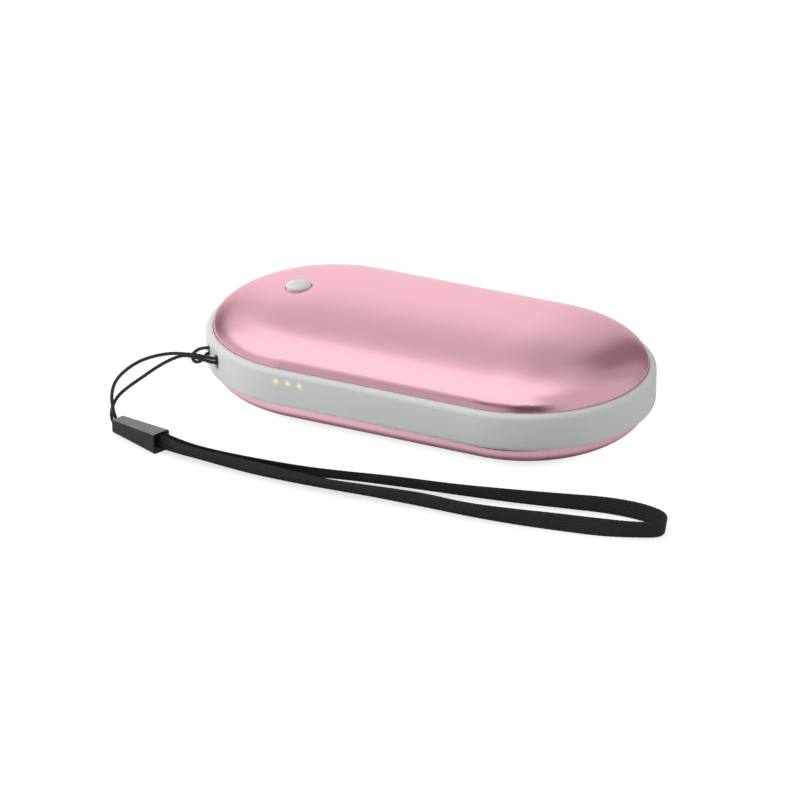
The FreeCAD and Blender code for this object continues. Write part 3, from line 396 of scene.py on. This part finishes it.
def makeMottledTone():
    # two close colours in soft patches
    inputs = [("Light", (1, 1, 1, 1)), ("Dark", (0, 0, 0, 1)), ("Scale", 200.0)]
    tree, given, out = newGroup("mottledTone", inputs, [("Color", "Color")])
    noise = noiseIn(tree, ownPlace(tree), given["Scale"], Detail=4.0, Roughness=0.55)
    wire(tree, mixed(tree, noise, given["Dark"], given["Light"]), out["Color"])
    return tree


def makeHandling():
    # roughness that wanders where a hand has been
    inputs = [("Smooth", 0.3), ("Rough", 0.4), ("Scale", 120.0)]
    tree, given, out = newGroup("handling", inputs, [("Roughness", "Float")])
    noise = noiseIn(tree, ownPlace(tree), given["Scale"], Detail=5.0, Roughness=0.65, Distortion=0.6)
    wire(tree, spread(tree, noise, *noiseSpan, given["Smooth"], given["Rough"]), out["Roughness"])
    return tree


def makePaintedTopLight():
    # painted highlight: what faces up is made lighter, in soft patches
    tree, given, out = newGroup("paintedTopLight", [("Scale", 600.0), ("Even", 0.7)], [("Mask", "Float")])
    facing = axes(tree, addNode(tree, "ShaderNodeNewGeometry").outputs["Normal"])
    upturned = spread(tree, facing["Z"], 0.45, 0.97)
    noise = noiseIn(tree, ownPlace(tree), given["Scale"], Detail=3.0)
    patchy = maths(tree, "MAXIMUM", spread(tree, noise, *noiseSpan), given["Even"])
    wire(tree, maths(tree, "MULTIPLY", upturned, patchy), out["Mask"])
    return tree


def makeBrushedLines():
    # fine drawn lines along the piece's X
    tree, given, out = newGroup("brushedLines", [("Scale", 900.0)], [("Height", "Float")])
    drawnOut = addNode(tree, "ShaderNodeMapping", {"Vector": ownPlace(tree), "Scale": (0.04, 1.0, 1.0)})
    noise = noiseIn(tree, drawnOut.outputs["Vector"], given["Scale"], Detail=3.0)
    wire(tree, noise, out["Height"])
    return tree


def makeRibWeave():
    # slanted yarns that meet along each rib of the webbing; u goes round it, v along it
    inputs = [("Ribs per turn", 12.5), ("Yarn", 0.0007), ("Slant", 1.1)]
    tree, given, out = newGroup("ribWeave", inputs, [("Height", "Float"), ("Shade", "Float")])
    half = 0.5   # of a turn is one face, and of a rib or a yarn one flank
    split = axes(tree, addNode(tree, "ShaderNodeTexCoord").outputs["UV"])
    across = maths(tree, "MULTIPLY", maths(tree, "MODULO", split["X"], half), given["Ribs per turn"])
    peak = maths(tree, "PINGPONG", across, half)
    along = maths(tree, "DIVIDE", split["Y"], given["Yarn"])
    phase = maths(tree, "ADD", along, maths(tree, "MULTIPLY", peak, given["Slant"]))
    yarn = maths(tree, "PINGPONG", phase, half)
    height = spread(tree, yarn, 0.02, 0.4)
    yarnShade = spread(tree, yarn, 0.0, 0.35, outLow=0.72)
    grooveShade = spread(tree, peak, 0.0, 0.3, outLow=0.1)
    wire(tree, height, out["Height"])
    wire(tree, maths(tree, "MULTIPLY", yarnShade, grooveShade), out["Shade"])
    return tree


def makePaintedSeamShade():
    # painted shade along a joint at one height
    tree, given, out = newGroup("paintedSeamShade", [("Level", 0.0), ("Reach", 0.0005)], [("Mask", "Float")])
    split = axes(tree, ownPlace(tree))
    off = maths(tree, "ABSOLUTE", maths(tree, "SUBTRACT", split["Z"], given["Level"]))
    wire(tree, maths(tree, "SUBTRACT", 1.0, spread(tree, off, 0.0, given["Reach"])), out["Mask"])
    return tree


lamps = {
    # in millimetres: X of the three lights, their height, and the Y in front of which they show
    "places": (-23.5, -20.55, -17.6), "height": 14.85, "front": -20.0,
    "core": {"reach": 0.5, "span": (0.05, 0.75), "strength": 0.54,
             "tones": ((216, 184, 120), (246, 236, 132))},
    "halo": {"reach": 1.15, "fall": 1.2, "strength": 0.3, "tones": ((0, 0, 0), (255, 206, 120))},
}


def makeLampGlow():
    # how near a point of the front is to one of the three lights
    tree, given, out = newGroup("lampGlow", [("Reach", lamps["core"]["reach"] * mm)], [("Glow", "Float")])
    split = axes(tree, ownPlace(tree))
    flat = addNode(tree, "ShaderNodeCombineXYZ", {"X": split["X"], "Z": split["Z"]}).outputs[0]
    nearest = 1.0
    for x in lamps["places"]:
        lamp = (x * mm, 0, lamps["height"] * mm)
        away = addNode(tree, "ShaderNodeVectorMath", {0: flat, 1: lamp}, operation="DISTANCE")
        nearest = maths(tree, "MINIMUM", away.outputs["Value"], nearest)
    near = maths(tree, "SUBTRACT", 1.0, maths(tree, "DIVIDE", nearest, given["Reach"]))
    inFront = maths(tree, "LESS_THAN", split["Y"], lamps["front"] * mm)
    wire(tree, maths(tree, "MULTIPLY", maths(tree, "MAXIMUM", near, 0.0), inFront), out["Glow"])
    return tree


groups = {
    "fineGrain": makeFineGrain(), "mottledTone": makeMottledTone(), "handling": makeHandling(),
    "paintedTopLight": makePaintedTopLight(), "brushedLines": makeBrushedLines(), "ribWeave": makeRibWeave(),
    "lampGlow": makeLampGlow(), "paintedSeamShade": makePaintedSeamShade(),
}


def place(tree, group, **values):
    node = addNode(tree, "ShaderNodeGroup", node_tree=groups[group])
    for key, value in values.items():
        node.inputs[key].default_value = value
    return node.outputs


def tint(red, green, blue):
    # a colour as a picture shows it, 0 to 255, carried to light by the usual screen curve
    def straight(value):
        value /= 255
        return value / 12.92 if value <= 0.04045 else ((value + 0.055) / 1.055) ** 2.4
    return (straight(red), straight(green), straight(blue), 1)


def shaderSockets(material):
    return material.node_tree.nodes["Principled BSDF"].inputs


def relief(tree, height, strength, depth):
    return addNode(tree, "ShaderNodeBump", {"Strength": strength, "Distance": depth * mm, "Height": height})


touchPerPatch = 1.7   # the marks of handling are finer than the patches of colour by this much


def finish(name, tones, patch, rough, grain, strength, depth, **sockets):
    # the base of every finish: two tones, roughness that wanders between two values, fine grain
    material = bpy.data.materials.new(name)
    material.use_nodes = True
    tree, shader = material.node_tree, shaderSockets(material)
    light, dark = (tint(*tone) for tone in tones)
    colour = place(tree, "mottledTone", Light=light, Dark=dark, Scale=patch)
    touch = place(tree, "handling", Smooth=rough[0], Rough=rough[1], Scale=patch * touchPerPatch)
    pits = place(tree, "fineGrain", Scale=grain)
    wire(tree, colour["Color"], shader["Base Color"])
    wire(tree, touch["Roughness"], shader["Roughness"])
    wire(tree, relief(tree, pits["Height"], strength, depth).outputs["Normal"], shader["Normal"])
    for key, value in sockets.items():
        shader[key.replace("_", " ")].default_value = value
    return material


def raised(material, height, strength, depth):
    # a second relief under the fine grain
    tree = material.node_tree
    grain = next(node for node in tree.nodes if node.type == "BUMP")
    wire(tree, relief(tree, height, strength, depth).outputs["Normal"], grain.inputs["Normal"])


def brushed(material, scale, strength, depth):
    lines = place(material.node_tree, "brushedLines", Scale=scale)
    raised(material, lines["Height"], strength, depth)


def overlaid(material, mask, colour):
    # another colour over the base colour, where the mask says
    tree, base = material.node_tree, shaderSockets(material)["Base Color"]
    under = base.links[0].from_socket
    wire(tree, mixed(tree, mask, under, tint(*colour)), base)


def glowing(material, mask, tones, strength):
    # light of its own, which goes from one tone to the other as the mask rises
    tree, shader = material.node_tree, shaderSockets(material)
    low, high = (tint(*tone) for tone in tones)
    wire(tree, mixed(tree, mask, low, high), shader["Emission Color"])
    shader["Emission Strength"].default_value = strength


def dress(material, *pieces):
    for piece in pieces:
        piece.data.materials.clear()
        piece.data.materials.append(material)


def paint(material, *names):
    dress(material, *(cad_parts[name] for name in names))


# painted shade along the joint between top shell and band, with its darker tone and how much of the metal's
# shine it takes away
shellSeamShade = {"level": 17.0, "reach": 0.7, "tone": (214, 158, 170), "dull": 0.7}


def paintOutside():
    pink = finish("anodisedPink", tones=((254, 199, 211), (252, 197, 209)), patch=60, rough=(0.19, 0.22),
                  grain=14000, strength=0.006, depth=0.01, Metallic=1.0, Specular_Tint=tint(255, 234, 239))
    tree = pink.node_tree
    # painted shade: the metal turns darker and duller just above the band
    seamShade = place(tree, "paintedSeamShade", Level=shellSeamShade["level"] * mm, Reach=shellSeamShade["reach"] * mm)["Mask"]
    overlaid(pink, seamShade, shellSeamShade["tone"])
    bare = maths(tree, "SUBTRACT", 1.0, maths(tree, "MULTIPLY", seamShade, shellSeamShade["dull"]))
    wire(tree, bare, shaderSockets(pink)["Metallic"])
    paint(pink, "top_shell", "bottom_shell")

    band = finish("bandPlastic", tones=((221, 225, 223), (217, 221, 219)), patch=140, rough=(0.44, 0.52),
                  grain=5000, strength=0.06, depth=0.03)
    tree = band.node_tree
    halo = lamps["halo"]
    near = place(tree, "lampGlow", Reach=halo["reach"] * mm)["Glow"]
    glowing(band, maths(tree, "POWER", near, halo["fall"]), halo["tones"], halo["strength"])
    paint(band, "side_band")

    button = finish("buttonPlastic", tones=((227, 227, 223), (223, 223, 219)), patch=260, rough=(0.4, 0.48),
                    grain=6000, strength=0.08, depth=0.02)
    paint(button, "power_button")

    clip = finish("clipPlastic", tones=((25, 27, 29), (22, 24, 26)), patch=400, rough=(0.42, 0.52),
                  grain=5500, strength=0.12, depth=0.03, Specular_IOR_Level=0.36)
    # painted highlight: the clip's upward faces turn a pale grey
    topLight = place(clip.node_tree, "paintedTopLight", Scale=500, Even=0.85)["Mask"]
    overlaid(clip, topLight, (122, 125, 127))
    paint(clip, "lanyard_clip")

    black = finish("blackWebbing", tones=((39, 42, 44), (29, 32, 34)), patch=1500, rough=(0.72, 0.85),
                   grain=7000, strength=0.3, depth=0.05)
    tree = black.node_tree
    weave = place(tree, "ribWeave")
    overlaid(black, maths(tree, "SUBTRACT", 1.0, weave["Shade"]), (17, 17, 18))
    raised(black, weave["Height"], strength=0.5, depth=0.06)
    dress(black, webbing)

    twist = finish("blackThread", tones=((44, 44, 45), (30, 30, 30)), patch=1500, rough=(0.6, 0.75),
                   grain=9000, strength=0.4, depth=0.05, Sheen_Weight=0.1)
    dress(twist, thread)

    lit = finish("litPipe", tones=((226, 212, 166), (218, 202, 154)), patch=900, rough=(0.2, 0.26),
                 grain=8000, strength=0.05, depth=0.02)
    tree = lit.node_tree
    core = lamps["core"]
    near = place(tree, "lampGlow", Reach=core["reach"] * mm)["Glow"]
    glowing(lit, spread(tree, near, *core["span"]), core["tones"], core["strength"])
    for i in range(1, len(lamps["places"]) + 1):
        paint(lit, f"light_pipe_{i}", f"indicator_light_{i}")


def paintInside():
    steel = finish("brightSteel", tones=((206, 208, 210), (190, 192, 195)), patch=300, rough=(0.2, 0.32),
                   grain=5000, strength=0.04, depth=0.01, Metallic=1.0)
    brushed(steel, scale=2500, strength=0.12, depth=0.02)
    paint(steel, "switch_cover", "switch_dome", "charge_port_shell")

    screw = finish("screwSteel", tones=((158, 160, 164), (136, 138, 142)), patch=700, rough=(0.28, 0.42),
                   grain=6000, strength=0.08, depth=0.02, Metallic=1.0)
    brushed(screw, scale=4000, strength=0.2, depth=0.02)
    paint(screw, "tray_screws", "board_screws")

    gold = finish("goldContact", tones=((236, 196, 112), (222, 178, 92)), patch=900, rough=(0.2, 0.3),
                  grain=9000, strength=0.05, depth=0.01, Metallic=1.0)
    dress(gold, portContacts)

    foil = finish("pouchFoil", tones=((204, 206, 210), (184, 186, 190)), patch=80, rough=(0.3, 0.44),
                  grain=260, strength=0.25, depth=0.2, Metallic=0.9)
    paint(foil, "battery_cell_lower", "battery_cell_upper")

    tape = finish("paleTape", tones=((238, 233, 214), (226, 220, 198)), patch=220, rough=(0.5, 0.62),
                  grain=2600, strength=0.2, depth=0.05)
    brushed(tape, scale=1600, strength=0.2, depth=0.05)
    paint(tape, "top_gasket", "bottom_gasket", "battery_tape", "cell_tape", "capacitors")

    foam = finish("closedFoam", tones=((66, 66, 68), (46, 46, 48)), patch=700, rough=(0.85, 0.95),
                  grain=2200, strength=0.7, depth=0.2)
    paint(foam, "insulation_pad")

    tray = finish("trayPlastic", tones=((72, 73, 76), (62, 63, 66)), patch=180, rough=(0.48, 0.58),
                  grain=4200, strength=0.15, depth=0.03)
    paint(tray, "inner_tray")

    resin = finish("chipResin", tones=((46, 46, 48), (34, 34, 36)), patch=900, rough=(0.52, 0.66),
                   grain=7000, strength=0.3, depth=0.03)
    paint(resin, "controller_chip", "charger_chip", "power_coil", "switch_base", "switch_stem",
          "charge_port_tongue")

    board = finish("boardMask", tones=((38, 112, 66), (28, 94, 54)), patch=260, rough=(0.3, 0.4),
                   grain=5000, strength=0.06, depth=0.02)
    tree = board.node_tree
    traces = {"Vector": ownPlace(tree), "Scale": 400.0, "Mortar Size": 0.03, "Mortar Smooth": 0.2,
              "Brick Width": 1.7, "Row Height": 0.34}
    trace = addNode(tree, "ShaderNodeTexBrick", traces).outputs["Fac"]
    overlaid(board, trace, (92, 160, 96))
    raised(board, trace, strength=0.4, depth=0.04)
    paint(board, "main_board", "protection_board")

    film = finish("heaterFilm", tones=((196, 122, 44), (176, 102, 30)), patch=160, rough=(0.26, 0.36),
                  grain=5000, strength=0.05, depth=0.02)
    tree = film.node_tree
    stripes = {"Vector": ownPlace(tree), "Scale": 110.0, "Distortion": 0.0}
    wave = addNode(tree, "ShaderNodeTexWave", stripes, wave_type="BANDS", bands_direction="Y")
    track = spread(tree, wave.outputs["Fac"], 0.5, 0.6)
    overlaid(film, track, (214, 168, 108))
    raised(film, track, strength=0.4, depth=0.03)
    paint(film, "top_heater", "bottom_heater")

    red = finish("redLead", tones=((190, 40, 38), (168, 28, 28)), patch=500, rough=(0.38, 0.5),
                 grain=5000, strength=0.1, depth=0.02)
    paint(red, "battery_lead_positive")
    black = finish("blackLead", tones=((50, 50, 51), (38, 38, 39)), patch=500, rough=(0.38, 0.5),
                   grain=5000, strength=0.1, depth=0.02)
    paint(black, "battery_lead_negative", "top_heater_leads", "bottom_heater_leads", "heat_sensor")


paintOutside()
paintInside()
print("finishes made")

stage = {
    "floorSize": 12.0, "paper": 0.9, "paperSeen": 0.1, "openSamples": 8,
    # how white the floor shows, far from the object and against it, and over what span of openness it changes
    "glowSeen": 0.97, "glowContact": 0.7, "glowSpan": (0.2, 0.95),
    # the floor in reflections: painted light from left to right in millimetres, and painted shade close under
    # the object
    "mirror": {"left": 0.72, "right": 0.48, "from": -30, "to": 45, "contact": 0.2, "reach": 7.0,
               "span": (0.3, 0.75)},
    # how far the contact shadows reach, under the body and from there to the strap in front of it
    "shadowReach": {"body": 2.1, "strap": 3.6, "from": -26, "to": -30},
    # where the floor ends in reflections, as an oval that is longer in X
    "tableEdge": {"narrow": 0.55, "start": 62, "stop": 105},
    "reach": 1.7, "tentWhite": 1.1, "tentTurns": 180, "tentRows": 90,
    # the dark panels lean to red, and to blue by a share of that
    "darkWarmth": 0.45, "warmBelow": 0.42, "blueShare": 0.3,
    # panels in the white tent, each over those before it: heading from the back (+Y, clockwise from above),
    # height angle, softness of both, grey
    "panels": {
        "rightRoof": (-25, 138, -30, 72, 15, 12, 0.61),
        "leftRoof": (-55, 0, -30, 61, 8, 10, 0.63),
        "backLeftSide": (-24, -4, 36, 64, 6, 9, 0.5),
        "backSide": (6, 40, -30, 56, 12, 10, 0.43),
        "backWall": (-5.4, 16, -30, 49, 4, 9, 0.21),
        "brightCard": (-42, -17, -30, 33, 8, 11, 0.945),
        "leftMiddle": (-76, -50, -30, 39, 8, 12, 0.72),
        "leftLow": (-140, -70, -30, 23, 10, 9, 0.63),
        "leftDark": (-81, -50, -30, 19, 9, 9, 0.23),
        "frontLeftMiddle": (200, 230, -30, 30, 8, 7, 0.68),
        "frontLeftTall": (200, 215, -30, 42, 5, 3, 0.63),
        "frontLow": (132, 203, -30, 16, 10, 6, 0.4),
        "frontDark": (132, 180, -30, 37, 13, 6, 0.09),
        "frontDarkLeft": (178, 203, 17, 38, 5, 5, 0.16),
        "frontLowLeft": (170, 206, -30, 12, 9, 5, 0.5),
    },
    "fill": {"place": (-1.35, -0.5, 0.6), "size": 1.2, "power": 10.5},
}


def softStep(value, edge, soft):
    part = min(1.0, max(0.0, (value - edge) / (2 * soft) + 0.5))
    return part * part * (3 - 2 * part)


def tentGrey(spot):
    height = math.degrees(math.asin(max(-1.0, min(1.0, spot.z / spot.length))))
    heading = math.degrees(math.atan2(spot.x, spot.y))
    grey = stage["tentWhite"]
    for start, stop, low, high, softTurn, softLift, tone in stage["panels"].values():
        middle = (start + stop) / 2
        off = abs((heading - middle + 180) % 360 - 180)
        cover = softStep((stop - start) / 2 - off, 0, softTurn)
        cover *= softStep(height, low, softLift) * softStep(high - height, 0, softLift)
        grey += (tone - grey) * cover
    return grey


def raiseTent():
    # a large ball round the object, white with grey panels, that lights it and shows only in reflections
    deselectAll()
    bpy.ops.mesh.primitive_uv_sphere_add(segments=stage["tentTurns"], ring_count=stage["tentRows"],
                                         radius=stage["reach"])
    tent = bpy.context.object
    tent.name = "studioTent"
    tone = tent.data.attributes.new("panelTone", "FLOAT_COLOR", "POINT")
    for vertex, value in zip(tent.data.vertices, tone.data):
        grey = tentGrey(vertex.co)
        warm = stage["darkWarmth"] * max(0.0, 1 - grey / stage["warmBelow"])
        value.color = (grey * (1 + warm), grey, grey * (1 + warm * stage["blueShare"]), 1)
    material = bpy.data.materials.new("tentCloth")
    material.use_nodes = True
    tree = material.node_tree
    tree.nodes.clear()
    tone = addNode(tree, "ShaderNodeAttribute", attribute_name="panelTone")
    glow = addNode(tree, "ShaderNodeEmission", {"Color": tone.outputs["Color"], "Strength": 1.0})
    addNode(tree, "ShaderNodeOutputMaterial", {"Surface": glow.outputs[0]})
    material.cycles.emission_sampling = "NONE"
    dress(material, tent)
    tent.visible_camera = False


def openness(tree, reach):
    # 1 where nothing stands close by
    node = addNode(tree, "ShaderNodeAmbientOcclusion", {"Distance": reach}, samples=stage["openSamples"])
    return node.outputs["AO"]


def layFloor():
    # white to the camera, with contact shadows, and in reflections a painted light and shade
    deselectAll()
    bpy.ops.mesh.primitive_plane_add(size=stage["floorSize"], location=(0, 0, 0))
    floor = bpy.context.object
    floor.name = "studioFloor"
    material = bpy.data.materials.new("floorPaper")
    material.use_nodes = True
    tree = material.node_tree
    tree.nodes.clear()
    path = addNode(tree, "ShaderNodeLightPath").outputs
    mirrored = path["Is Glossy Ray"]
    shown = maths(tree, "MAXIMUM", path["Is Camera Ray"], path["Is Transmission Ray"])
    split = axes(tree, ownPlace(tree))

    edge = stage["tableEdge"]
    narrowed = maths(tree, "MULTIPLY", split["X"], edge["narrow"])
    flat = addNode(tree, "ShaderNodeCombineXYZ", {"X": narrowed, "Y": split["Y"]}).outputs[0]
    away = addNode(tree, "ShaderNodeVectorMath", {0: flat}, operation="LENGTH").outputs["Value"]
    past = spread(tree, away, edge["start"] * mm, edge["stop"] * mm)
    beyond = maths(tree, "MULTIPLY", mirrored, past)

    seen = maths(tree, "MAXIMUM", shown, mirrored)
    greys = [(stage[key],) * 3 + (1,) for key in ("paper", "paperSeen")]
    paper = addNode(tree, "ShaderNodeBsdfDiffuse", {"Color": mixed(tree, seen, *greys)})

    shade = stage["shadowReach"]
    reach = spread(tree, split["Y"], shade["to"] * mm, shade["from"] * mm,
                   shade["strap"] * mm, shade["body"] * mm)
    level = spread(tree, openness(tree, reach), *stage["glowSpan"], stage["glowContact"], stage["glowSeen"])

    mirror = stage["mirror"]
    side = spread(tree, split["X"], mirror["from"] * mm, mirror["to"] * mm, mirror["left"], mirror["right"])
    under = spread(tree, openness(tree, mirror["reach"] * mm), *mirror["span"], outLow=mirror["contact"])
    dimmed = maths(tree, "MULTIPLY", side, under)

    direct = maths(tree, "MULTIPLY", shown, level)
    strength = maths(tree, "ADD", direct, maths(tree, "MULTIPLY", mirrored, dimmed))
    glow = addNode(tree, "ShaderNodeEmission", {"Strength": strength})
    both = addNode(tree, "ShaderNodeAddShader", {0: paper.outputs[0], 1: glow.outputs[0]})
    clear = addNode(tree, "ShaderNodeBsdfTransparent")
    ended = addNode(tree, "ShaderNodeMixShader", {0: beyond, 1: both.outputs[0], 2: clear.outputs[0]})
    addNode(tree, "ShaderNodeOutputMaterial", {"Surface": ended.outputs[0]})
    material.cycles.emission_sampling = "NONE"
    dress(material, floor)


def lightWorld():
    world = bpy.data.worlds.new("studioWhite")
    bpy.context.scene.world = world
    world.use_nodes = True
    background = world.node_tree.nodes["Background"].inputs
    background["Color"].default_value = (1, 1, 1, 1)
    background["Strength"].default_value = 1.0


def hangFill():
    # a wide soft lamp from the left, for what isn't metal
    fill = stage["fill"]
    deselectAll()
    bpy.ops.object.light_add(type="AREA", location=fill["place"])
    lamp = bpy.context.object
    lamp.name = "frontFill"
    lamp.rotation_euler = (-Vector(fill["place"])).to_track_quat("-Z", "Y").to_euler()
    lamp.data.size, lamp.data.energy = fill["size"], fill["power"]
    lamp.visible_camera = lamp.visible_glossy = False


layFloor()
raiseTent()
hangFill()
lightWorld()
bpy.context.scene.view_settings.view_transform = "Standard"
print("stage set")
